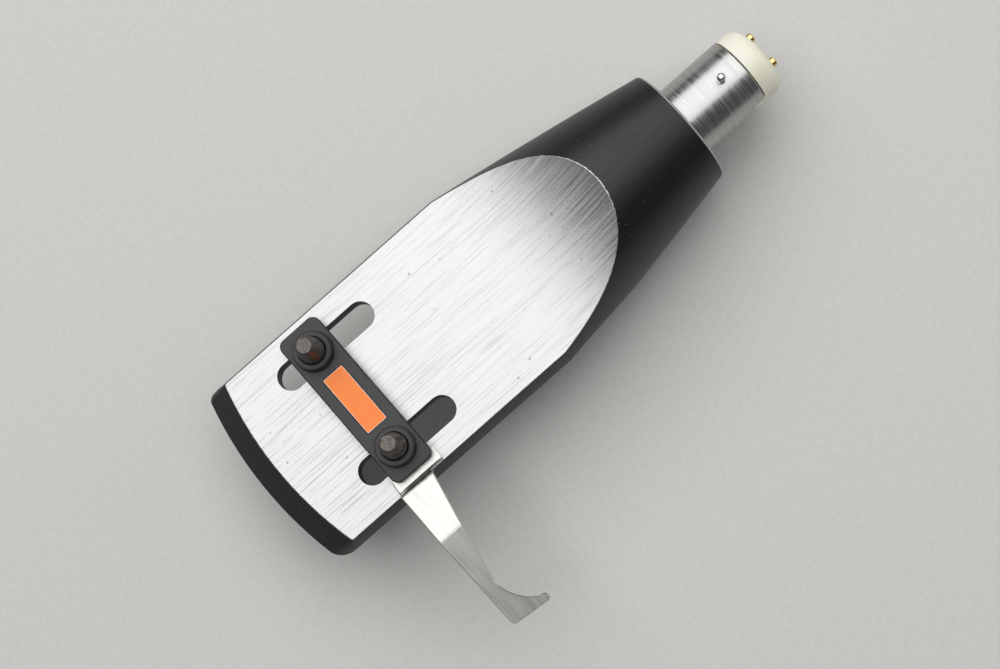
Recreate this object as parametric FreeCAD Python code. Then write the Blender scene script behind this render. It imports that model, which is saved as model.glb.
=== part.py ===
import FreeCAD, Part
import math
import os

from FreeCAD import Vector

# Turntable headshell with a bayonet arm plug, a finger lift and a screwed clamp plate. Millimetres.
# The origin is on the plug's axis, in the plane of the shoulder that stops against the tonearm.
# +X runs rearward along the plug, +Z is up out of the brushed top, the finger lift is on the -Y side.

# Shell body: a turned aluminium blank, milled flat above and below
barrel_r = 11.04
neck_len = 24.4
neck_rear_r = 6.64
neck_bulge = 0.10
rim_chamfer = 0.15
top_z = 4.17
plate_t = 2.42
top_scoop_r = 24.0
top_scoop_x = -24.8
under_scoop_r = 24.0
under_scoop_x = -24.8
nose_x = -53.75
nose_arc_r = 40.0
nose_arc_y = -0.6
nose_bevel_run = 2.52
nose_corner_r_left = 0.9
nose_corner_r_right = 2.0
nose_corner_top_r = 0.3
slot_pitch = 12.7
slot_clear = 0.35
slot_setback = 7.15
slot_travel = 9.25
plug_seat_depth = 7.0
insulator_clear = 0.1
terminal_room = 6.3

# Arm plug: tube, insulator, locating pin and four contact pins
tube_r = 4.0
tube_wall = 0.7
tube_len = 8.13
tube_edge = 0.08
guide_pin_r = 0.45
guide_pin_setback = 2.58
guide_pin_rise = 1.6
guide_pin_dome = 0.35
key_w = 2.2
key_len = 1.6
key_gap = 0.08
joint_gap = 0.14
cap_len = 2.72
cap_step = 0.05
cap_edge_r = 1.4
insulator_reach = 1.0
contact_spacing = 3.36
contact_r = 0.52
contact_proud = 0.5
contact_edge = 0.12
terminal_r = 0.6
terminal_len = 4.2

# Screws, from below, with their ends standing free above the clamp plate
screw_setback = 3.45
screw_r = 1.3
screw_len = 9.25
screw_end_r = 0.76
screw_point_r = 0.92
screw_point_len = 0.6
screw_taper_len = 2.4
head_r = 2.2
head_h = 1.7
head_edge = 0.25
head_slot_w = 0.7
head_slot_depth = 0.8

# Clamp plate, threaded for both screws, with a recess for the badge
clamp_w = 4.95
clamp_end = 3.0
clamp_t = 1.1
clamp_corner_r = 0.85
clamp_edge = 0.12
boss_foot_r = 2.1
boss_r = 2.0
boss_h = 1.13
boss_edge = 0.12
thread_chamfer = 0.2
badge_w = 2.55
badge_len = 7.1
badge_t = 0.3
badge_edge = 0.06
badge_corner_r = 0.15
badge_gap = 0.04
badge_sunk = 0.05

# Finger lift, cut and folded from one sheet, its flange under the clamp plate.
# Its outline is measured from the screws' line (in X) and outward from the fold beside the clamp plate.
lift_t = 0.6
lift_hole_clear = 0.15
flange_side_inset = 0.1
flange_end_inset = 0.15
ear_left = -2.75
ear_right = 2.7
ear_start = -1.62
ear_end = -0.05
fold_gap = 0.87
fold_angle = 70.0
fold_rise = 1.3
fold_r = 0.44
crown_out = 6.11
crown_drop_angle = 14.0
crown_r = 1.5
blade_left = -2.88
blade_root = 1.3
waist_x = -1.39
waist_out = 12.48
waist_r = 2.0
hook_mid_x = -0.78
hook_mid_out = 14.58
hook_end_x = 1.05
hook_end_out = 16.38
tip_x = 1.69
tip_out = 16.93
tip_low_x = 1.4
tip_low_out = 17.28
blade_len = 16.93
blade_corner_r = 0.55
blade_edge = 0.1

# Derived places
under_z = top_z - plate_t
slot_w = 2 * screw_r + slot_clear
slot_front_x = nose_x + slot_setback
slot_rear_x = slot_front_x + slot_travel
screw_x = slot_front_x + screw_setback
tube_bore_r = tube_r - tube_wall
insulator_front_x = -plug_seat_depth - insulator_reach
terminal_front_x = insulator_front_x - terminal_len
terminal_bore_end_x = terminal_front_x - terminal_room
guide_pin_x = tube_len - guide_pin_setback
cap_r = tube_r - cap_step
cap_front_x = tube_len + joint_gap
cap_end_x = tube_len + cap_len
half_pitch = slot_pitch / 2
clamp_len = slot_pitch + 2 * clamp_end
fold_y = -(clamp_len / 2 + fold_gap)
step_end_y = fold_y - fold_rise / math.tan(math.radians(fold_angle))
screw_ys = (half_pitch, -half_pitch)
clamp_z = top_z + lift_t
clamp_top_z = clamp_z + clamp_t
boss_top_z = clamp_top_z + boss_h
badge_floor_z = clamp_top_z - badge_sunk - badge_t
screw_top_z = under_z + screw_len
clear = 5.0
far = 80.0
tiny = 1e-4

X_AXIS = Vector(1, 0, 0)
Y_AXIS = Vector(0, 1, 0)
Z_AXIS = Vector(0, 0, 1)


def save(name, shape):
    """Write one sub-part as a STEP file after checking that it is sound."""
    if shape.ShapeType == "Compound" and len(shape.Solids) == 1:
        shape = shape.Solids[0]
    if not shape.isValid():
        raise ValueError(name + " is not a valid shape")
    shape.exportStep("parts/" + name + ".step")
    print(name, round(shape.Volume, 2), "mm3", len(shape.Solids), "solid")
    return shape


def closed_face(edges):
    """A flat face inside a closed run of edges."""
    return Part.Face(Part.Wire(Part.__sortEdges__(edges)))


def rod_x(radius, start_x, end_x, y=0.0, z=0.0):
    """A cylinder along the plug's axis between two places."""
    return Part.makeCylinder(radius, end_x - start_x, Vector(start_x, y, z), X_AXIS)


def rounded_block(width, length, height, corner_r, x, y, z):
    """A block centred on x, y and standing on z, its upright corners rounded."""
    block = Part.makeBox(width, length, height, Vector(x - width / 2, y - length / 2, z))
    upright = [e for e in block.Edges if abs(e.tangentAt(e.FirstParameter).z) > 0.9]
    return block.makeFillet(corner_r, upright)


def edges_at_z(shape, z):
    """The edges that lie wholly at one height."""
    boxes = [(e, e.BoundBox) for e in shape.Edges]
    return [e for e, box in boxes if abs(box.ZMin - z) < tiny and abs(box.ZMax - z) < tiny]


def edges_at_x(shape, x):
    """The edges that lie wholly in one plane across the plug's axis."""
    boxes = [(e, e.BoundBox) for e in shape.Edges]
    return [e for e, box in boxes if abs(box.XMin - x) < tiny and abs(box.XMax - x) < tiny]


def hole_z(radius, x, y):
    """An upright cylinder that is taller than the whole part."""
    return Part.makeCylinder(radius, far, Vector(x, y, -far / 2), Z_AXIS)


# Shell body

def turned_blank():
    """The lathe blank: a slightly bellied neck that runs into a straight barrel."""
    front_x = nose_x - nose_bevel_run - clear
    mid_x = -neck_len / 2
    mid_r = (neck_rear_r + barrel_r) / 2 + neck_bulge
    rim_inner = Vector(0, 0, neck_rear_r - rim_chamfer)
    rim_outer = Vector(-rim_chamfer, 0, neck_rear_r)
    neck_front = Vector(-neck_len, 0, barrel_r)
    edges = [
        Part.makeLine(Vector(0, 0, 0), rim_inner),
        Part.makeLine(rim_inner, rim_outer),
        Part.Arc(rim_outer, Vector(mid_x, 0, mid_r), neck_front).toShape(),
        Part.makeLine(neck_front, Vector(front_x, 0, barrel_r)),
        Part.makeLine(Vector(front_x, 0, barrel_r), Vector(front_x, 0, 0)),
        Part.makeLine(Vector(front_x, 0, 0), Vector(0, 0, 0)),
    ]
    return closed_face(edges).revolve(Vector(0, 0, 0), X_AXIS, 360)


def milled_away(flat_z, start_x, radius, side):
    """What a round cutter takes off: flat up to start_x, then a quarter circle out of the blank."""
    wide = 2 * barrel_r + 2 * clear
    start = Vector(start_x, -wide / 2, flat_z)
    corner = Vector(start_x + radius, -wide / 2, flat_z + side * radius)
    run = radius * math.sin(math.radians(45))
    climb = radius - run
    middle = Vector(start_x + run, -wide / 2, flat_z + side * climb)
    outer_z = flat_z + side * far
    points = [corner, Vector(corner.x, corner.y, outer_z), Vector(-far, corner.y, outer_z),
              Vector(-far, corner.y, flat_z), start]
    edges = [Part.makeLine(a, b) for a, b in zip(points, points[1:])]
    edges.append(Part.Arc(start, middle, corner).toShape())
    return closed_face(edges).extrude(Vector(0, wide, 0))


def nose_waste():
    """Everything in front of the bevelled nose, which is part of an upright cone."""
    slope = nose_bevel_run / plate_t
    centre = Vector(nose_x + nose_arc_r, nose_arc_y, top_z - clear)
    low_r = nose_arc_r + slope * clear
    high_r = nose_arc_r - slope * clear
    cone = Part.makeCone(low_r, high_r, 2 * clear, centre, Z_AXIS)
    corner = Vector(slot_front_x - far - slot_w, -far / 2, top_z - clear)
    return Part.makeBox(far, far, 2 * clear, corner).cut(cone)


def nose_corner_edge(body, side):
    """The slanting edge between the nose bevel and the barrel, on one side."""
    best = None
    for edge in body.Edges:
        box = edge.BoundBox
        middle = box.Center
        if middle.x < slot_front_x - slot_w and side * middle.y > barrel_r / 2 and box.ZLength > plate_t / 2:
            best = edge
    return best


def rounded_nose(body):
    """Round both nose corners, wide at the underside and nearly sharp at the brushed top."""
    for side, low_r in ((1, nose_corner_r_left), (-1, nose_corner_r_right)):
        edge = nose_corner_edge(body, side)
        first, last = edge.Vertexes[0].Point.z, edge.Vertexes[-1].Point.z
        radii = (low_r, nose_corner_top_r) if first < last else (nose_corner_top_r, low_r)
        body = body.makeFillet(radii[0], radii[1], [edge])
    return body


def slot_cut(y):
    """One long slot through the plate for a screw."""
    length = slot_rear_x - slot_front_x
    z = under_z - clear
    height = plate_t + 2 * clear
    box = Part.makeBox(length, slot_w, height, Vector(slot_front_x, y - slot_w / 2, z))
    front = Part.makeCylinder(slot_w / 2, height, Vector(slot_front_x, y, z), Z_AXIS)
    rear = Part.makeCylinder(slot_w / 2, height, Vector(slot_rear_x, y, z), Z_AXIS)
    return box.fuse([front, rear]).removeSplitter()


def shell_body():
    body = turned_blank()
    body = body.cut(milled_away(top_z, top_scoop_x, top_scoop_r, 1))
    body = body.cut(milled_away(under_z, under_scoop_x, under_scoop_r, -1))
    body = body.cut(nose_waste())
    body = rounded_nose(body)
    body = body.cut([slot_cut(y) for y in screw_ys])
    body = body.cut(rod_x(tube_r, -plug_seat_depth, clear))
    return body.cut(rod_x(tube_bore_r + insulator_clear, terminal_bore_end_x, 0))


# Arm plug

def key_block(gap, end_x):
    """The locating tongue on the -Y side as far as end_x, round at its front, smaller by a gap."""
    radius = key_w / 2 - gap
    centre_x = tube_len - key_len + key_w / 2
    y = -tube_r - clear / 2
    nose = Part.makeCylinder(radius, clear, Vector(centre_x, y, 0), Y_AXIS)
    straight = Part.makeBox(end_x - centre_x, clear, 2 * radius, Vector(centre_x, y, -radius))
    return straight.fuse(nose).removeSplitter()


def plug_tube():
    """A tube pressed into the shell up to its bore's step, notched for the key, drilled for the pin."""
    tube = rod_x(tube_r, -plug_seat_depth, tube_len)
    tube = tube.makeChamfer(tube_edge, edges_at_x(tube, tube_len))
    tube = tube.cut(rod_x(tube_bore_r, -plug_seat_depth - clear, tube_len + clear))
    tube = tube.cut(key_block(0, tube_len + clear))
    return tube.cut(Part.makeCylinder(guide_pin_r, tube_r, Vector(guide_pin_x, 0, tube_bore_r / 2), Z_AXIS))


def guide_pin():
    """A short wire with a domed end, set in the tube's hole as deep as the bore."""
    length = tube_wall + guide_pin_rise
    pin = Part.makeCylinder(guide_pin_r, length, Vector(guide_pin_x, 0, tube_bore_r), Z_AXIS)
    return pin.makeFillet(guide_pin_dome, edges_at_z(pin, tube_r + guide_pin_rise))


def contact_places():
    """Centres of the four contacts, seen along the plug's axis."""
    half = contact_spacing / 2
    return [(half, half), (-half, half), (-half, -half), (half, -half)]


def plug_insulator():
    """A moulded core inside the tube, with a cap behind a thin groove and a tongue in the tube's notch."""
    cap = rod_x(cap_r, cap_front_x, cap_end_x)
    cap = cap.makeFillet(cap_edge_r, edges_at_x(cap, cap_end_x))
    core = rod_x(tube_bore_r, insulator_front_x, cap_front_x)
    ring = rod_x(cap_r, tube_len - key_len, cap_front_x)
    ring = ring.cut(rod_x(tube_bore_r, -clear, cap_front_x + clear))
    tongue = ring.common(key_block(key_gap, cap_front_x))
    body = core.fuse([cap, tongue]).removeSplitter()
    hole_front_x = insulator_front_x - clear
    hole_end_x = cap_end_x + clear
    return body.cut([rod_x(contact_r, hole_front_x, hole_end_x, y, z) for y, z in contact_places()])


def contact_pin(y, z):
    """A plated pin with a chamfered end, thicker in front where the lead wire's clip goes on."""
    end_x = cap_end_x + contact_proud
    pin = rod_x(contact_r, insulator_front_x, end_x, y, z)
    pin = pin.makeChamfer(contact_edge, edges_at_x(pin, end_x))
    terminal = rod_x(terminal_r, terminal_front_x, insulator_front_x, y, z)
    return pin.fuse(terminal).removeSplitter()


# Screws

def screw_profile(y):
    """Half of the screw's section: chamfered head, plain shank, long taper, short point with a flat end."""
    head_z = under_z - head_h
    taper_top_z = screw_top_z - screw_point_len
    outline = [(0, head_z), (head_r - head_edge, head_z), (head_r, head_z + head_edge), (head_r, under_z),
               (screw_r, under_z), (screw_r, taper_top_z - screw_taper_len), (screw_point_r, taper_top_z),
               (screw_point_r, screw_top_z - screw_point_r + screw_end_r), (screw_end_r, screw_top_z),
               (0, screw_top_z), (0, head_z)]
    points = [Vector(screw_x + r, y, z) for r, z in outline]
    return Part.Face(Part.makePolygon(points))


def screw(y):
    """A slotted cheese-head screw put in from below."""
    turned = screw_profile(y).revolve(Vector(screw_x, y, 0), Z_AXIS, 360)
    slot = Part.makeBox(2 * head_r + clear, head_slot_w, head_slot_depth,
                        Vector(screw_x - head_r - clear / 2, y - head_slot_w / 2, under_z - head_h))
    return turned.cut(slot)


# Clamp plate and badge

def boss(y):
    """A raised collar around a screw, with a little draft and a softened top."""
    cone = Part.makeCone(boss_foot_r, boss_r, boss_h, Vector(screw_x, y, clamp_top_z), Z_AXIS)
    return cone.makeChamfer(boss_edge, edges_at_z(cone, boss_top_z))


def thread_hole(y):
    """A screw hole through plate and boss, chamfered at the boss's mouth."""
    depth = 2 * thread_chamfer
    foot = Vector(screw_x, y, boss_top_z - thread_chamfer)
    mouth = Part.makeCone(screw_r, screw_r + depth, depth, foot, Z_AXIS)
    return hole_z(screw_r, screw_x, y).fuse(mouth)


def clamp_plate():
    plate = rounded_block(clamp_w, clamp_len, clamp_t, clamp_corner_r, screw_x, 0, clamp_z)
    plate = plate.makeChamfer(clamp_edge, edges_at_z(plate, clamp_top_z))
    plate = plate.fuse([boss(y) for y in screw_ys]).removeSplitter()
    recess = rounded_block(badge_w + 2 * badge_gap, badge_len + 2 * badge_gap, clear,
                           badge_corner_r + badge_gap, screw_x, 0, badge_floor_z)
    return plate.cut([thread_hole(y) for y in screw_ys] + [recess])


def badge():
    plate = rounded_block(badge_w, badge_len, badge_t, badge_corner_r, screw_x, 0, badge_floor_z)
    return plate.makeChamfer(badge_edge, edges_at_z(plate, badge_floor_z + badge_t))


# Finger lift

def corner_points(before, corner, after, radius):
    """Where a bend of one radius starts, is halfway and ends between two straight runs."""
    to_before = (before - corner).normalize()
    to_after = (after - corner).normalize()
    half_open = math.acos(max(-1.0, min(1.0, to_before.dot(to_after)))) / 2
    reach = radius / math.tan(half_open)
    middle_dir = (to_before + to_after).normalize()
    centre = corner + middle_dir * (radius / math.sin(half_open))
    return corner + to_before * reach, centre - middle_dir * radius, corner + to_after * reach


def bent_edges(points, radii):
    """Straight runs joined by bends, as a list of edges."""
    edges = []
    here = points[0]
    for index, radius in enumerate(radii, start=1):
        start, middle, end = corner_points(points[index - 1], points[index], points[index + 1], radius)
        edges.append(Part.makeLine(here, start))
        edges.append(Part.Arc(start, middle, end).toShape())
        here = end
    edges.append(Part.makeLine(here, points[-1]))
    return edges


def offset_path(points, distance):
    """The same folded path, moved sideways by a distance in the YZ plane."""
    normals = []
    for a, b in zip(points, points[1:]):
        along = (b - a).normalize()
        normals.append(Vector(0, along.z, -along.y))
    moved = [points[0] + normals[0] * distance]
    for index in range(1, len(points) - 1):
        both = normals[index - 1] + normals[index]
        moved.append(points[index] + both * (distance * 2 / both.dot(both)))
    moved.append(points[-1] + normals[-1] * distance)
    return moved


def lift_section():
    """The sheet seen edge on: flange, a step up, a level run and a long run that slopes down."""
    middle_z = top_z + lift_t / 2
    level_z = middle_z + fold_rise
    crown_y = fold_y - crown_out
    end_y = fold_y - tip_low_out - clear
    end_z = level_z - (crown_y - end_y) * math.tan(math.radians(crown_drop_angle))
    x = screw_x + blade_left - clear
    path = [Vector(x, clamp_len / 2 + clear, middle_z), Vector(x, fold_y, middle_z),
            Vector(x, step_end_y, level_z), Vector(x, crown_y, level_z), Vector(x, end_y, end_z)]
    upper = offset_path(path, lift_t / 2)
    lower = offset_path(path, -lift_t / 2)
    if upper[0].z < lower[0].z:
        upper, lower = lower, upper
    half_t = lift_t / 2
    top = bent_edges(upper, [fold_r - half_t, fold_r + half_t, crown_r + half_t])
    bottom = bent_edges(lower, [fold_r + half_t, fold_r - half_t, crown_r - half_t])
    ends = [Part.makeLine(upper[0], lower[0]), Part.makeLine(upper[-1], lower[-1])]
    return closed_face(top + bottom + ends)


def outline_point(x, out):
    """A point of the lift's outline, from the screws' line in X and outward from the fold."""
    return Vector(screw_x + x, fold_y - out, under_z - clear)


def lift_outline():
    """The sheet seen from above: a flange with two ears, and a tapered blade that ends in a hook."""
    z = under_z - clear
    half_w = clamp_w / 2 - flange_side_inset
    flange_end_y = clamp_len / 2 - flange_end_inset
    corner = blade_corner_r
    half_corner = corner * (1 - math.sqrt(0.5))
    waist, hook_end = outline_point(waist_x, waist_out), outline_point(hook_end_x, hook_end_out)
    tip_low = outline_point(tip_low_x, tip_low_out)
    foot_start = outline_point(blade_left + corner, blade_len)
    foot_end = outline_point(blade_left, blade_len - corner)
    hook = Part.Arc(waist, outline_point(hook_mid_x, hook_mid_out), hook_end)
    tip = Part.Arc(hook_end, outline_point(tip_x, tip_out), tip_low)
    foot = Part.Arc(foot_start, outline_point(blade_left + half_corner, blade_len - half_corner), foot_end)
    points = [foot_end, outline_point(blade_left, ear_end), outline_point(ear_left, ear_start),
              outline_point(-half_w, ear_start), Vector(screw_x - half_w, flange_end_y, z),
              Vector(screw_x + half_w, flange_end_y, z), outline_point(half_w, ear_start),
              outline_point(ear_right, ear_start), outline_point(ear_right, ear_end),
              outline_point(blade_root, ear_end), waist]
    edges = [Part.makeLine(a, b) for a, b in zip(points, points[1:])]
    edges += [hook.toShape(), tip.toShape(), Part.makeLine(tip_low, foot_start), foot.toShape()]
    return closed_face(edges)


def softened_waist(blank):
    """Round the upright edge where the blade's straight side meets the hook."""
    waist = outline_point(waist_x, waist_out)
    near = [e for e in blank.Edges if e.BoundBox.ZLength > clear]
    near = [e for e in near if math.hypot(e.BoundBox.XMin - waist.x, e.BoundBox.YMin - waist.y) < tiny]
    return blank.makeFillet(waist_r, near)


def blade_top_edges(lift):
    """The edges between the blade's top and its upright sides, out beyond the step."""
    upper, upright = [], []
    for face in lift.Faces:
        u_low, u_high, v_low, v_high = face.ParameterRange
        facing_up = face.normalAt((u_low + u_high) / 2, (v_low + v_high) / 2).z
        if facing_up > 0.5:
            upper += face.Edges
        elif abs(facing_up) < tiny:
            upright += face.Edges
    shared = [e for e in upper if any(e.isSame(other) for other in upright)]
    return [e for e in shared if e.BoundBox.YMax < step_end_y]


def finger_lift():
    sheet = lift_section().extrude(Vector(ear_right - blade_left + 2 * clear, 0, 0))
    blank = softened_waist(lift_outline().extrude(Vector(0, 0, far)))
    hole_r = screw_r + lift_hole_clear
    lift = sheet.common(blank).cut([hole_z(hole_r, screw_x, y) for y in screw_ys])
    return lift.makeChamfer(blade_edge, blade_top_edges(lift))


def main():
    os.makedirs("parts", exist_ok=True)
    save("shell_body", shell_body())
    save("plug_tube", plug_tube())
    save("guide_pin", guide_pin())
    save("plug_insulator", plug_insulator())
    for number, (y, z) in enumerate(contact_places(), start=1):
        save("contact_pin_" + str(number), contact_pin(y, z))
    save("clamp_plate", clamp_plate())
    save("badge", badge())
    save("finger_lift", finger_lift())
    save("screw_left", screw(half_pitch))
    save("screw_right", screw(-half_pitch))


main()
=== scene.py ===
# %% [markdown]
# A turntable headshell: the small carrier that holds a record player's cartridge at the end of the arm.
# The precise solids come from the part's own model. This script only dresses them: it gives each piece the
# finish of the real one, cuts real threads where plain rods stand in for them, and sets light and camera.

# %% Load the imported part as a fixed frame
import math

import bpy
from mathutils import Matrix, Vector


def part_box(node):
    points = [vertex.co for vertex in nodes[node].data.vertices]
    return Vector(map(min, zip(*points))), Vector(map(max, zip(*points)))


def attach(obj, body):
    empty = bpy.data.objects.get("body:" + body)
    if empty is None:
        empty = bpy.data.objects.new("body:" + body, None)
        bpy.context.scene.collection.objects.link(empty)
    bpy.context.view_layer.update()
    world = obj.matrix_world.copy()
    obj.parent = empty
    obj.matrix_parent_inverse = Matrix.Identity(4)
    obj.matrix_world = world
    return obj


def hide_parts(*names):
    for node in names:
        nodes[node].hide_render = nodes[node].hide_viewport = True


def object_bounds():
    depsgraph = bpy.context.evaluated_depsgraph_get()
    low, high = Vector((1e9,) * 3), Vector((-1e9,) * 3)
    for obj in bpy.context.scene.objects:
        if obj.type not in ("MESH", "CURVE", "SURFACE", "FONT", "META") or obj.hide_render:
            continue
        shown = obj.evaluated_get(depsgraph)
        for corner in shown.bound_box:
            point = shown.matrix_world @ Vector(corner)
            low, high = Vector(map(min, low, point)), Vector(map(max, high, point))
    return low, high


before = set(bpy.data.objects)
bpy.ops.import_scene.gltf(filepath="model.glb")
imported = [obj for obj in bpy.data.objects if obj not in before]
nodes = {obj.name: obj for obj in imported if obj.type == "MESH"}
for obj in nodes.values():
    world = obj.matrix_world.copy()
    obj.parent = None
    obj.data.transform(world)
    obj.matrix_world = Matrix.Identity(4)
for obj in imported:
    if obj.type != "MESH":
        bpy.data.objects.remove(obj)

cad_low, cad_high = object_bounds()
MM = 0.001
print("nodes:", ", ".join(sorted(nodes)))
print("size in mm:", [round(v / MM, 2) for v in cad_high - cad_low])

# %% [markdown]
# Materials are networks of nodes. Blender's own calls need three or four lines for each node, which hides what
# a network does. One helper that adds a node, sets its fields and links its inputs leaves one line for each
# node, so that every network below reads from top to bottom.

# %% Helpers for colours and node networks
NOISE_LOW, NOISE_HIGH = 0.3, 0.7    # nearly all values of a noise texture lie between these two


def linear(hex_colour):
    """An sRGB hex colour, such as a colour picker shows, as the linear values that a shader works with."""
    parts = [int(hex_colour[i:i + 2], 16) / 255 for i in (1, 3, 5)]
    return tuple(c / 12.92 if c <= 0.04045 else ((c + 0.055) / 1.055) ** 2.4 for c in parts) + (1.0,)


def add(tree, kind, settings=None, *values, **named):
    """Adds one shader node and links it.

    settings are the node's own fields. values go to its visible inputs in their order, and named ones by name.
    A value is a number, a colour, a socket, or a whole node, which stands for its first visible output.
    """
    node = tree.nodes.new("ShaderNode" + kind)
    for name, value in (settings or {}).items():
        setattr(node, name, value)
    sockets = [s for s in node.inputs if s.enabled]
    pairs = list(zip(sockets, values))
    for name, value in named.items():
        pairs.append((next(s for s in sockets if s.name == name.replace("_", " ")), value))
    for socket, value in pairs:
        if isinstance(value, bpy.types.Node):
            value = next(s for s in value.outputs if s.enabled)
        if isinstance(value, bpy.types.NodeSocket):
            tree.links.new(value, socket)
        else:
            socket.default_value = value
    return node


def empty_material(name):
    """A new material without nodes, and its tree."""
    made = bpy.data.materials.new(name)
    made.use_nodes = True
    made.node_tree.nodes.clear()
    return made, made.node_tree


def place_in_mm(tree):
    """Where a point lies on the part, in millimetres."""
    metres = add(tree, "TexCoord").outputs["Object"]
    return add(tree, "VectorMath", {"operation": "SCALE"}, metres, Scale=1 / MM)


def dress(made, *names):
    """Gives a material to whole pieces, by the names that the model's nodes have."""
    for name in names:
        mesh = nodes[name].data
        mesh.materials.clear()
        mesh.materials.append(made)
    print(made.name, "->", ", ".join(names))


# %% [markdown]
# The shell is one piece of aluminium in two finishes. It was blackened all over, then the flat top and the scoop
# behind it were milled and brushed bare, which leaves a thin, slightly torn border between black and silver.
# Two materials would need the mesh split along that border. A mask worked out from the cutter's own path, a
# plane that runs into a cylinder, draws the same border on the solid as it is. The rear rim is worn bare as
# well, because each change of headshell rubs it, so a second mask follows that corner. Sizes are in mm.

# %% Shell: where the metal is bare
TOP_Z = 4.17            # the flat top
SCOOP_X = -24.8         # where the flat top ends and the scoop's arc begins
SCOOP_R = 24.0
BARE_DEPTH = 0.06       # a point this far under the cutter's path is no longer bare
BORDER = 0.02           # the width over which silver turns to black
NECK_REAR_R = 6.64      # the rear rim's radius


def cutter_depth(tree, xyz):
    """How far a point lies under the cutter's path, in mm: about 0 on the bare metal, more on the black."""
    past = add(tree, "Math", {"operation": "SUBTRACT"}, xyz.outputs[0], SCOOP_X)
    behind = add(tree, "Math", {"operation": "MAXIMUM"}, past, 0.0)
    above = add(tree, "Math", {"operation": "SUBTRACT"}, xyz.outputs[2], TOP_Z + SCOOP_R)
    spoke = add(tree, "CombineXYZ", None, behind, 0.0, above)
    reach = add(tree, "VectorMath", {"operation": "LENGTH"}, spoke)
    return add(tree, "Math", {"operation": "SUBTRACT"}, reach.outputs["Value"], SCOOP_R)


def rim_distance(tree, xyz):
    """How far a point lies from the sharp corner of the neck's rear end, in mm."""
    spoke = add(tree, "CombineXYZ", None, 0.0, xyz.outputs[1], xyz.outputs[2])
    radius = add(tree, "VectorMath", {"operation": "LENGTH"}, spoke).outputs["Value"]
    outward = add(tree, "Math", {"operation": "SUBTRACT"}, radius, NECK_REAR_R)
    offset = add(tree, "CombineXYZ", None, xyz.outputs[0], outward, 0.0)
    return add(tree, "VectorMath", {"operation": "LENGTH"}, offset).outputs["Value"]


# %% [markdown]
# Brushed bare aluminium: a hard, bright metal with hair-fine lines along its length. The lines spread a
# reflection sideways, so the metal looks pale and silky under a wide lamp. The real hairs are a few hundredths
# of a millimetre wide, too fine to show, so they are drawn about 0.1 mm wide. Noise that is stretched along the
# length gives them, and a second, sparser noise marks the deeper scratches, which look dark. Towards the nose
# they are painted darker still, which is painted shade: the flat gets less of the lamp's light there. A small
# noise on the cutter's depth chips the border.
# Black satin anodising: a very dark, slightly rough skin that shows lamps only as a soft sheen, with a few
# specks of dust. Nicks and dust are the middles of Voronoi cells, one speck to a cell.

# %% Shell: brushed bare aluminium and black satin
HAIR = (9.0, 0.09, 9.0)         # one hair: its length, width and height, in mm
SCRATCH = (7.0, 0.07, 7.0)
BROAD = (16.0, 0.7, 16.0)       # the wider stripes that a worn brush leaves
NOSE_X = -53.75                 # the scratches and their painted shade are strongest here
CALM_X = -38.0                  # and fainter from here on
CHIPS_PER_MM = 2.5
TORN = 0.04                     # how far a chip moves the cutter's depth, in mm
WORN_RIM = 0.16                 # how far from its corner the rear rim is bare, in mm
RIM_FADE = 0.08
GRIT_PER_MM = 8.0
NICKS_PER_MM = 0.45
DUST_PER_MM = 1.0
SPECK_CORE, SPECK_EDGE = 0.03, 0.08     # a speck's solid core and soft edge, as shares of its cell

shell_finish, tree = empty_material("black satin and brushed bare aluminium")
place = place_in_mm(tree)
xyz = add(tree, "SeparateXYZ", None, place)
chips = add(tree, "TexNoise", None, place, Scale=CHIPS_PER_MM, Detail=3.0)
torn = add(tree, "MapRange", None, chips, NOISE_LOW, NOISE_HIGH, -TORN, TORN)
depth = add(tree, "Math", {"operation": "ADD"}, cutter_depth(tree, xyz), torn)
cut = add(tree, "MapRange", None, depth, BARE_DEPTH, BARE_DEPTH + BORDER, 1.0, 0.0)
worn = add(tree, "MapRange", None, rim_distance(tree, xyz), WORN_RIM, WORN_RIM + RIM_FADE, 0.8, 0.0)
bare = add(tree, "Math", {"operation": "MAXIMUM"}, cut, worn)

along = add(tree, "Mapping", {"vector_type": "TEXTURE"}, place, Scale=HAIR)
hairs = add(tree, "TexNoise", None, along, Scale=1.0, Detail=3.0, Roughness=0.65)
along = add(tree, "Mapping", {"vector_type": "TEXTURE"}, place, Scale=SCRATCH)
scratches = add(tree, "TexNoise", None, along, Scale=1.0, Detail=1.0)
along = add(tree, "Mapping", {"vector_type": "TEXTURE"}, place, Scale=BROAD)
broad = add(tree, "TexNoise", None, along, Scale=1.0, Detail=2.0)
deep = add(tree, "MapRange", None, scratches, 0.60, 0.72, 0.0, 1.0)
pale = add(tree, "MapRange", None, hairs, NOISE_LOW, NOISE_HIGH, 0.0, 1.0)
brushed = add(tree, "Mix", {"data_type": "RGBA"}, pale, linear("#A6A6A5"), linear("#DADAD9"))
tint = add(tree, "MapRange", None, broad, NOISE_LOW, NOISE_HIGH, 0.0, 0.35)
brushed = add(tree, "Mix", {"data_type": "RGBA"}, tint, brushed, linear("#C2C2C1"))
# Painted shade: the dark scratches count for more towards the nose, in place of the lamp's light falling off
# there.
nose_painted_shade = add(tree, "MapRange", None, xyz.outputs[0], NOSE_X, CALM_X, 0.55, 0.25)
scratch_and_painted_shade_share = add(tree, "Math", {"operation": "MULTIPLY"}, deep, nose_painted_shade)
scratched_and_painted_shade = add(tree, "Mix", {"data_type": "RGBA"}, scratch_and_painted_shade_share, brushed, linear("#6E6E6D"))
nicks = add(tree, "TexVoronoi", None, place, Scale=NICKS_PER_MM)
nick = add(tree, "MapRange", None, nicks.outputs["Distance"], SPECK_CORE, SPECK_EDGE, 0.6, 0.0)
silver = add(tree, "Mix", {"data_type": "RGBA"}, nick, scratched_and_painted_shade, linear("#565655"))

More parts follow.
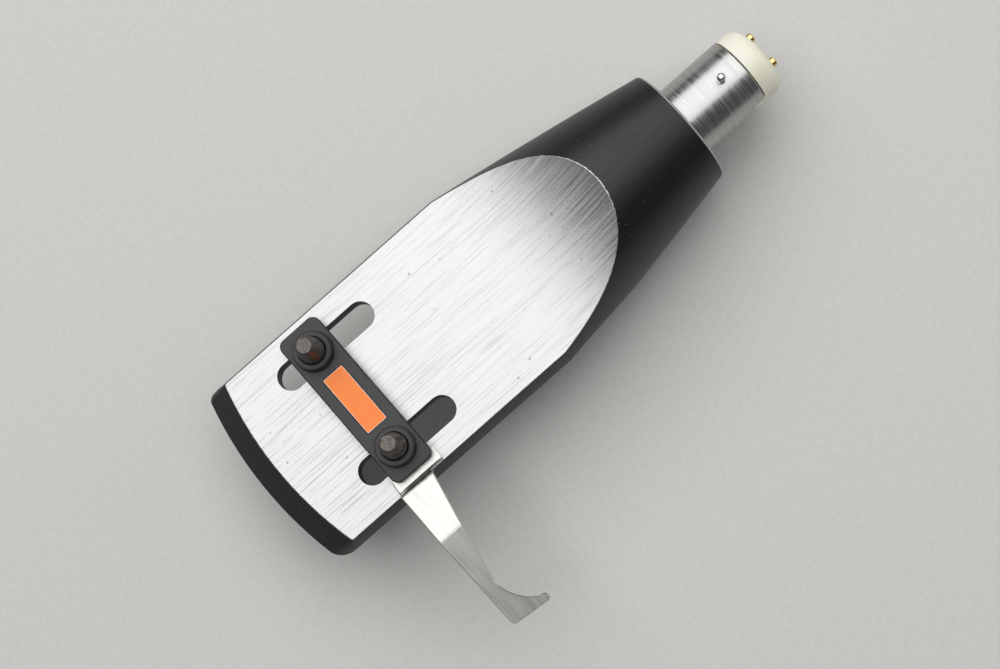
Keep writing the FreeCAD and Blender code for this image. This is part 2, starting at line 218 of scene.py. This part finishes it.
grit = add(tree, "TexNoise", None, place, Scale=GRIT_PER_MM, Detail=2.0)
skin = add(tree, "MapRange", None, grit, NOISE_LOW, NOISE_HIGH, 0.0, 1.0)
black = add(tree, "Mix", {"data_type": "RGBA"}, skin, linear("#060607"), linear("#0E0E10"))
cells = add(tree, "TexVoronoi", None, place, Scale=DUST_PER_MM)
dust = add(tree, "MapRange", None, cells.outputs["Distance"], SPECK_CORE, SPECK_EDGE, 0.5, 0.0)
dusty = add(tree, "Mix", {"data_type": "RGBA"}, dust, black, linear("#8A8A88"))

colour = add(tree, "Mix", {"data_type": "RGBA"}, bare, dusty, silver)
bare_rough = add(tree, "MapRange", None, hairs, NOISE_LOW, NOISE_HIGH, 0.30, 0.60)
black_rough = add(tree, "MapRange", None, grit, NOISE_LOW, NOISE_HIGH, 0.36, 0.46)
rough = add(tree, "Mix", {"data_type": "FLOAT"}, bare, black_rough, bare_rough)
gritty = add(tree, "Math", {"operation": "MULTIPLY"}, grit, 0.5)
furrow = add(tree, "Math", {"operation": "SUBTRACT"}, hairs, deep)
height = add(tree, "Mix", {"data_type": "FLOAT"}, bare, gritty, furrow)
bump = add(tree, "Bump", None, Height=height, Strength=0.35, Distance=0.02 * MM)
shader = add(tree, "BsdfPrincipled", None, Base_Color=colour, Metallic=bare, Roughness=rough, Normal=bump,
             Specular_IOR_Level=0.5)
add(tree, "OutputMaterial", None, shader)
dress(shell_finish, "shell_body")

# %% [markdown]
# The plug's tube is turned on a lathe from the same metal and left bare. The tool leaves fine rings round it.
# Some are burnished and some are torn a little, so beside the lamp's white band the dull rings still catch
# light while the bright ones are already dark. A different roughness for each ring gives that. Noise that
# varies mostly along the axis tells the rings apart, and a slower noise groups them, as chatter does.

# %% Plug tube: turned bare aluminium
RING_PITCH = 0.08       # the width of one ring, in mm
RING_ARC = 10.0         # how far round the tube a ring stays the same, in mm
CHATTER = 0.5           # the width of a group of rings, in mm
CHATTER_ARC = 9.0
CHATTER_SHARE = 0.2     # how much the groups count beside the single rings

turned_metal, tree = empty_material("turned bare aluminium")
place = place_in_mm(tree)
along = add(tree, "Mapping", {"vector_type": "TEXTURE"}, place, Scale=(RING_PITCH, RING_ARC, RING_ARC))
rings = add(tree, "TexNoise", None, along, Scale=1.0, Detail=2.0)
along = add(tree, "Mapping", {"vector_type": "TEXTURE"}, place, Scale=(CHATTER, CHATTER_ARC, CHATTER_ARC))
bands = add(tree, "TexNoise", None, along, Scale=1.0, Detail=2.0)
share = add(tree, "Math", {"operation": "MULTIPLY"}, bands, CHATTER_SHARE)
cuts = add(tree, "Math", {"operation": "ADD"}, rings, share)
tone = add(tree, "MapRange", None, cuts, 0.4, 0.8, 0.0, 1.0)
colour = add(tree, "Mix", {"data_type": "RGBA"}, tone, linear("#A3A3A2"), linear("#BFBFBE"))
rough = add(tree, "MapRange", None, cuts, 0.45, 0.75, 0.24, 0.38)
bump = add(tree, "Bump", None, Height=cuts, Strength=0.3, Distance=0.01 * MM)
shader = add(tree, "BsdfPrincipled", None, Base_Color=colour, Metallic=1.0, Roughness=rough, Normal=bump)
add(tree, "OutputMaterial", None, shader)
dress(turned_metal, "plug_tube")

# %% [markdown]
# The locating pin is a short steel wire with a domed, polished end. It is as bright as the tube, but its dome
# shows the whole room at once, so it looks darker round a small highlight.

# %% Locating pin: polished steel
POLISH_PER_MM = 4.0

polished_steel, tree = empty_material("polished steel")
place = place_in_mm(tree)
wear = add(tree, "TexNoise", None, place, Scale=POLISH_PER_MM, Detail=2.0)
tone = add(tree, "MapRange", None, wear, NOISE_LOW, NOISE_HIGH, 0.0, 1.0)
colour = add(tree, "Mix", {"data_type": "RGBA"}, tone, linear("#BDBCB9"), linear("#DEDDDA"))
rough = add(tree, "MapRange", None, wear, NOISE_LOW, NOISE_HIGH, 0.20, 0.32)
shader = add(tree, "BsdfPrincipled", None, Base_Color=colour, Metallic=1.0, Roughness=rough)
add(tree, "OutputMaterial", None, shader)
dress(polished_steel, "guide_pin")

# %% [markdown]
# The insulator is moulded nylon, off-white and a little translucent, with a soft gloss. Light enters its skin
# and comes out again nearby, which is what makes it look like plastic and not like chalk.

# %% Insulator: moulded cream nylon
NYLON_IOR = 1.53
NYLON_GLOW = 0.6            # how far light travels under the skin, in mm
NYLON_CLOUDS_PER_MM = 0.4
NYLON_PORES_PER_MM = 7.0

cream_nylon, tree = empty_material("cream nylon")
place = place_in_mm(tree)
cloud = add(tree, "TexNoise", None, place, Scale=NYLON_CLOUDS_PER_MM, Detail=2.0)
pores = add(tree, "TexNoise", None, place, Scale=NYLON_PORES_PER_MM, Detail=2.0)
tone = add(tree, "MapRange", None, cloud, NOISE_LOW, NOISE_HIGH, 0.0, 1.0)
colour = add(tree, "Mix", {"data_type": "RGBA"}, tone, linear("#EBE9D3"), linear("#F3F1E2"))
rough = add(tree, "MapRange", None, pores, NOISE_LOW, NOISE_HIGH, 0.38, 0.48)
bump = add(tree, "Bump", None, Height=pores, Strength=0.15, Distance=0.01 * MM)
shader = add(tree, "BsdfPrincipled", None, Base_Color=colour, Roughness=rough, IOR=NYLON_IOR, Normal=bump,
             Subsurface_Weight=0.15, Subsurface_Scale=NYLON_GLOW * MM)
add(tree, "OutputMaterial", None, shader)
dress(cream_nylon, "plug_insulator")

# %% [markdown]
# The contacts are brass pins with a skin of gold, so that they never tarnish. Gold is a coloured metal: the
# tint is in its reflection.

# %% Contacts: gold-plated brass
RUBS_PER_MM = 3.3

gold_plate, tree = empty_material("gold plate")
place = place_in_mm(tree)
wear = add(tree, "TexNoise", None, place, Scale=RUBS_PER_MM, Detail=2.0)
tone = add(tree, "MapRange", None, wear, NOISE_LOW, NOISE_HIGH, 0.0, 1.0)
colour = add(tree, "Mix", {"data_type": "RGBA"}, tone, linear("#D8B467"), linear("#F3DDA2"))
rough = add(tree, "MapRange", None, wear, NOISE_LOW, NOISE_HIGH, 0.16, 0.30)
shader = add(tree, "BsdfPrincipled", None, Base_Color=colour, Metallic=1.0, Roughness=rough)
add(tree, "OutputMaterial", None, shader)
dress(gold_plate, "contact_pin_1", "contact_pin_2", "contact_pin_3", "contact_pin_4")

# %% [markdown]
# The clamp plate is moulded in black glass-filled plastic. The glass shows as soft grey clouds about 1 mm wide
# in the black, where the skin is duller too, over a fine grain of pores. Its edges catch a thin grey line of
# light. One noise gives the clouds their colour and their dullness, so that the two change together.

# %% Clamp plate: black moulded plastic
PLASTIC_IOR = 1.5
PLASTIC_CLOUDS_PER_MM = 0.9
PLASTIC_PORES_PER_MM = 9.0

black_plastic, tree = empty_material("black moulded plastic")
place = place_in_mm(tree)
pores = add(tree, "TexNoise", None, place, Scale=PLASTIC_PORES_PER_MM, Detail=2.0)
cloud = add(tree, "TexNoise", None, place, Scale=PLASTIC_CLOUDS_PER_MM, Detail=4.0)
tone = add(tree, "MapRange", None, cloud, NOISE_LOW, NOISE_HIGH, 0.0, 1.0)
colour = add(tree, "Mix", {"data_type": "RGBA"}, tone, linear("#101113"), linear("#38393C"))
rough = add(tree, "MapRange", None, cloud, NOISE_LOW, NOISE_HIGH, 0.38, 0.58)
bump = add(tree, "Bump", None, Height=pores, Strength=0.3, Distance=0.01 * MM)
shader = add(tree, "BsdfPrincipled", None, Base_Color=colour, Roughness=rough, IOR=PLASTIC_IOR, Normal=bump)
add(tree, "OutputMaterial", None, shader)
dress(black_plastic, "clamp_plate")

# %% [markdown]
# The badge is a thin metal plate enamelled orange on its face, with the bare cut edge of the metal round it.
# Enamel is an even, glossy colour, dulled a little here by handling, and the cut edge is a thin pale line. The
# edge is masked by how near a point is to the plate's outline, which needs no second mesh.

# %% Badge: orange enamel on a bare metal edge
BADGE_LINE = 0.09           # how wide the bare edge is, in mm
LINE_BLUR = 0.02
ENAMEL_CLOUDS_PER_MM = 0.8
badge_low, badge_high = [Vector(c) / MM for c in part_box("badge")]
badge_mid = (badge_low + badge_high) / 2
badge_half = (badge_high - badge_low) / 2

orange_enamel, tree = empty_material("orange enamel")
place = place_in_mm(tree)
offset = add(tree, "VectorMath", {"operation": "SUBTRACT"}, place, tuple(badge_mid))
offset = add(tree, "VectorMath", {"operation": "ABSOLUTE"}, offset)
inside = add(tree, "VectorMath", {"operation": "SUBTRACT"}, tuple(badge_half), offset)
inside = add(tree, "SeparateXYZ", None, inside)
nearest = add(tree, "Math", {"operation": "MINIMUM"}, inside.outputs[0], inside.outputs[1])
edge = add(tree, "MapRange", None, nearest, BADGE_LINE - LINE_BLUR, BADGE_LINE + LINE_BLUR, 1.0, 0.0)
cloud = add(tree, "TexNoise", None, place, Scale=ENAMEL_CLOUDS_PER_MM, Detail=2.0)
tone = add(tree, "MapRange", None, cloud, NOISE_LOW, NOISE_HIGH, 0.0, 1.0)
enamel = add(tree, "Mix", {"data_type": "RGBA"}, tone, linear("#FB7E24"), linear("#FF882C"))
colour = add(tree, "Mix", {"data_type": "RGBA"}, edge, enamel, linear("#D8CFC8"))
rough = add(tree, "MapRange", None, cloud, NOISE_LOW, NOISE_HIGH, 0.36, 0.44)
shader = add(tree, "BsdfPrincipled", None, Base_Color=colour, Metallic=edge, Roughness=rough)
add(tree, "OutputMaterial", None, shader)
dress(orange_enamel, "badge")

# %% [markdown]
# The finger lift is cut and folded from thin sheet and finished to a satin skin: it scatters light evenly, with
# faint lines along the blade from the rolling of the sheet. Noise that is stretched along the blade draws them.
# The flange and the fold were hammered into shape, so the bumps there are wider and deeper than on the blade.

# %% Finger lift: satin sheet metal
FOLD_Y = -10.2                      # the blade begins beyond this fold
FOLD_BLEND = 0.5
ROLLED = (0.25, 4.0, 4.0)           # one rolled line: its width, length and height, in mm
SKIN_PER_MM = 9.0
DENTS_PER_MM = 2.2
DENT_DEPTH = 4.0                    # how much deeper the dents are than the fine skin

satin_sheet, tree = empty_material("satin sheet metal")
place = place_in_mm(tree)
along = add(tree, "Mapping", {"vector_type": "TEXTURE"}, place, Scale=ROLLED)
lines = add(tree, "TexNoise", None, along, Scale=1.0, Detail=3.0)
skin = add(tree, "TexNoise", None, place, Scale=SKIN_PER_MM, Detail=2.0)
dents = add(tree, "TexNoise", None, place, Scale=DENTS_PER_MM, Detail=2.0)
xyz = add(tree, "SeparateXYZ", None, place)
worked = add(tree, "MapRange", None, xyz.outputs[1], FOLD_Y - FOLD_BLEND, FOLD_Y, 0.0, 1.0)
lumps = add(tree, "Math", {"operation": "MULTIPLY"}, dents, DENT_DEPTH)
height = add(tree, "Mix", {"data_type": "FLOAT"}, worked, skin, lumps)
tone = add(tree, "MapRange", None, lines, NOISE_LOW, NOISE_HIGH, 0.0, 1.0)
colour = add(tree, "Mix", {"data_type": "RGBA"}, tone, linear("#B8B6B2"), linear("#CDCBC7"))
rough = add(tree, "MapRange", None, lines, NOISE_LOW, NOISE_HIGH, 0.32, 0.38)
bump = add(tree, "Bump", None, Height=height, Strength=0.4, Distance=0.01 * MM)
shader = add(tree, "BsdfPrincipled", None, Base_Color=colour, Metallic=1.0, Roughness=rough, Normal=bump)
add(tree, "OutputMaterial", None, shader)
dress(satin_sheet, "finger_lift")

# %% [markdown]
# The screws are blackened steel. Black oxide is a thin dark skin on metal, so it stays a metal to the eye,
# only a dark one, and it is rubbed brighter where it is handled. The flat ends were cut on a lathe, which left
# rings round their centres. The rings are drawn from the distance to the screw's own axis, as bumps only.

# %% Screws: blackened steel with turned ends
SCREW_LOW, SCREW_HIGH = [Vector(c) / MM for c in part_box("screw_left")]
SCREW_X = (SCREW_LOW.x + SCREW_HIGH.x) / 2
SCREW_Y = (SCREW_LOW.y + SCREW_HIGH.y) / 2
END_RING = 0.28             # from one turned ring to the next, in mm
OXIDE_WEAR_PER_MM = 3.0

black_oxide, tree = empty_material("blackened steel")
place = place_in_mm(tree)
wear = add(tree, "TexNoise", None, place, Scale=OXIDE_WEAR_PER_MM, Detail=4.0)
tone = add(tree, "MapRange", None, wear, NOISE_LOW, NOISE_HIGH, 0.0, 1.0)
colour = add(tree, "Mix", {"data_type": "RGBA"}, tone, linear("#474340"), linear("#76716C"))
mirrored = add(tree, "VectorMath", {"operation": "ABSOLUTE"}, place)
across = add(tree, "VectorMath", {"operation": "SUBTRACT"}, mirrored, (-SCREW_X, SCREW_Y, 0.0))
across = add(tree, "VectorMath", {"operation": "MULTIPLY"}, across, (1.0, 1.0, 0.0))
radius = add(tree, "VectorMath", {"operation": "LENGTH"}, across).outputs["Value"]
phase = add(tree, "Math", {"operation": "MULTIPLY"}, radius, 2 * math.pi / END_RING)
ring = add(tree, "Math", {"operation": "SINE"}, phase)
bump = add(tree, "Bump", None, Height=ring, Strength=0.5, Distance=0.02 * MM)
rough = add(tree, "MapRange", None, wear, NOISE_LOW, NOISE_HIGH, 0.40, 0.54)
shader = add(tree, "BsdfPrincipled", None, Base_Color=colour, Metallic=0.85, Roughness=rough, Normal=bump)
add(tree, "OutputMaterial", None, shader)

# %% [markdown]
# The model holds each screw as a plain turned rod. Here the rod gets its thread: a surface of revolution whose
# radius also depends on the angle, so that the ridge climbs one pitch with each turn. The thread never stands
# out past the plain rod, and it fades where the taper is thinner than the thread's root. The slot in the head
# is cut with a Boolean, because it is a straight mill cut across the lathe's work.

# %% Screws: turned bodies with real threads
SCREW_R = 1.3               # all lengths here are in mm
THREAD_PITCH = 0.45
THREAD_DEPTH = 0.26
CREST_SHARE = 0.85          # where the V of the groove is cut off by the flat crest
TAPER_LEN = 2.4             # the shank narrows over this length
POINT_R = 0.92              # to this radius
POINT_LEN = 0.6             # and the point beyond it is chamfered
END_R = 0.76
HEAD_H = 1.7
HEAD_EDGE = 0.25
SLOT_W = 0.7
SLOT_DEPTH = 0.8
ROUND_STEPS = 72
ROWS_PER_PITCH = 12
SHARP_DEGREES = 35          # faces that meet at more than this keep a sharp edge


def plain_radius(z):
    """The radius of the plain shank, taper and point at a height, in mm."""
    taper_top = SCREW_HIGH.z - POINT_LEN
    taper_foot = taper_top - TAPER_LEN
    share = min(max((z - taper_foot) / TAPER_LEN, 0.0), 1.0)
    radius = SCREW_R + (POINT_R - SCREW_R) * share
    return min(radius, END_R + SCREW_HIGH.z - z)


def thread_radius(angle, z):
    """The radius with the thread cut in: a V-shaped groove that climbs as the angle grows."""
    turns = z / THREAD_PITCH - angle / (2 * math.pi)
    phase = turns - math.floor(turns)
    height = 1.0 - abs(2.0 * phase - 1.0)
    ridge = SCREW_R - THREAD_DEPTH * (1.0 - min(height / CREST_SHARE, 1.0))
    return min(plain_radius(z), ridge)


def threaded_screw(name, node, side):
    """One screw as a new mesh: chamfered head, threaded shank and flat end, standing where the plain one is."""
    head_top = SCREW_LOW.z + HEAD_H
    head_r = (SCREW_HIGH.x - SCREW_LOW.x) / 2
    rows = [(SCREW_LOW.z, head_r - HEAD_EDGE), (SCREW_LOW.z + HEAD_EDGE, head_r), (head_top, head_r)]
    count = round((SCREW_HIGH.z - head_top) / THREAD_PITCH * ROWS_PER_PITCH)
    rows += [(head_top + (SCREW_HIGH.z - head_top) * i / count, None) for i in range(count + 1)]
    points, faces = [], []
    for z, fixed in rows:
        for step in range(ROUND_STEPS):
            angle = 2 * math.pi * step / ROUND_STEPS
            radius = fixed if fixed else thread_radius(angle, z)
            points.append((SCREW_X + radius * math.cos(angle), side * SCREW_Y + radius * math.sin(angle), z))
    for row in range(len(rows) - 1):
        for step in range(ROUND_STEPS):
            here, beside = row * ROUND_STEPS + step, row * ROUND_STEPS + (step + 1) % ROUND_STEPS
            faces.append((here, beside, beside + ROUND_STEPS, here + ROUND_STEPS))
    faces.append(tuple(reversed(range(ROUND_STEPS))))
    faces.append(tuple(range(len(points) - ROUND_STEPS, len(points))))
    mesh = bpy.data.meshes.new(name)
    mesh.from_pydata([tuple(c * MM for c in p) for p in points], [], faces)
    mesh.materials.append(black_oxide)
    piece = bpy.data.objects.new(name, mesh)
    bpy.context.scene.collection.objects.link(piece)
    bpy.ops.mesh.primitive_cube_add(size=MM, location=(SCREW_X * MM, side * SCREW_Y * MM, SCREW_LOW.z * MM))
    cutter = bpy.context.object
    cutter.scale = (3 * head_r, SLOT_W, 2 * SLOT_DEPTH)
    cut = piece.modifiers.new("slot", "BOOLEAN")
    cut.object = cutter
    bpy.context.view_layer.objects.active = piece
    bpy.ops.object.modifier_apply(modifier=cut.name)
    bpy.data.objects.remove(cutter)
    piece.data.shade_smooth()
    piece.data.set_sharp_from_angle(angle=math.radians(SHARP_DEGREES))
    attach(piece, "root")
    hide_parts(node)
    print(name, "has", len(piece.data.polygons), "faces")


threaded_screw("threaded_screw_left", "screw_left", 1)
threaded_screw("threaded_screw_right", "screw_right", -1)

# %% [markdown]
# The part is shown on a pale, plain floor just under its lowest point. Matt paper scatters light evenly, so it
# shows no lamp, only the part's soft shadow. A floor far larger than the part has no visible edge.

# %% Floor
FLOOR_GAP = 0.02            # in mm
FLOOR_SIZE = 3.0            # in metres
FIBRES_PER_MM = 1.7
floor_z = cad_low.z - FLOOR_GAP * MM
bpy.ops.mesh.primitive_plane_add(size=FLOOR_SIZE, location=(0, 0, floor_z))
floor = bpy.context.object
floor.name = "floor"
pale_paper, tree = empty_material("pale paper")
place = place_in_mm(tree)
fibre = add(tree, "TexNoise", None, place, Scale=FIBRES_PER_MM, Detail=2.0)
tone = add(tree, "MapRange", None, fibre, NOISE_LOW, NOISE_HIGH, 0.0, 1.0)
colour = add(tree, "Mix", {"data_type": "RGBA"}, tone, linear("#CBCAC7"), linear("#D0CFCC"))
shader = add(tree, "BsdfPrincipled", None, Base_Color=colour, Roughness=0.9)
add(tree, "OutputMaterial", None, shader)
floor.data.materials.append(pale_paper)
print("floor at", round(floor_z / MM, 2), "mm")

# %% [markdown]
# A wide soft lamp hangs over the part and to one side of its length. In the round tube it shows as one broad
# white band with dark on either side, which is what tells the eye that the tube is polished and round. It is
# longer than the part, so that the scoop behind the flat top darkens gently as it turns away. A low, weak strip
# behind the plug gives the edges on that side a thin line of light. The world adds a faint even light, so that
# no shadow is quite black.

# %% Light
SHELL_MIDDLE = (-20, 0, 0)
WORLD_STRENGTH = 0.12


def soft_lamp(name, target, direction, distance, width, depth, power):
    """A rectangular lamp that looks at a target from a direction. Lengths are in mm, the power in watts."""
    data = bpy.data.lights.new(name, "AREA")
    data.shape = "RECTANGLE"
    data.size, data.size_y = width * MM, depth * MM
    data.energy = power
    lamp = bpy.data.objects.new(name, data)
    away = Vector(direction).normalized()
    lamp.location = (Vector(target) + away * distance) * MM
    lamp.rotation_mode = "QUATERNION"
    lamp.rotation_quaternion = away.to_track_quat("Z", "X")
    bpy.context.scene.collection.objects.link(lamp)
    print(name, [round(v / MM) for v in lamp.location])


soft_lamp("overhead softbox", SHELL_MIDDLE, direction=(0.08, 0.36, 1.0), distance=420,
          width=700, depth=620, power=2.8)
soft_lamp("low side strip", SHELL_MIDDLE, direction=(1.0, -0.3, 0.17), distance=400,
          width=400, depth=110, power=0.25)

world = bpy.data.worlds.new("studio")
world.use_nodes = True
world.node_tree.nodes["Background"].inputs["Color"].default_value = linear("#F0F1F2")
world.node_tree.nodes["Background"].inputs["Strength"].default_value = WORLD_STRENGTH
bpy.context.scene.world = world

# %% [markdown]
# The camera looks down on the part from the picture's own angle. Its place, turn and lens come from matching
# known lengths on the part, such as the distance between the screws, to where they lie in the picture.

# %% Camera
SENSOR_MM = 36.0
LENS_MM = 70.297
CLIP_NEAR, CLIP_FAR = 0.01, 10.0        # in metres
CAMERA_AT = Vector((-28.789, -35.412, 197.080))
CAMERA_RIGHT = Vector((0.74972989, -0.65387978, -0.10171689))
CAMERA_DOWN = Vector((-0.66173287, -0.7399174, -0.12096217))
CAMERA_AHEAD = Vector((0.00383262, 0.15799836, -0.98743194))

data = bpy.data.cameras.new("camera")
data.sensor_width = SENSOR_MM
data.lens = LENS_MM
data.clip_start = CLIP_NEAR
data.clip_end = CLIP_FAR
camera = bpy.data.objects.new("camera", data)
axes = Matrix((CAMERA_RIGHT, -CAMERA_DOWN, -CAMERA_AHEAD)).transposed()
camera.matrix_world = Matrix.Translation(CAMERA_AT * MM) @ axes.to_4x4()
bpy.context.scene.collection.objects.link(camera)
bpy.context.scene.camera = camera
bpy.context.scene.view_settings.view_transform = "Standard"
print("camera", round(CAMERA_AT.z), "mm above the plug's axis, lens", round(LENS_MM), "mm")
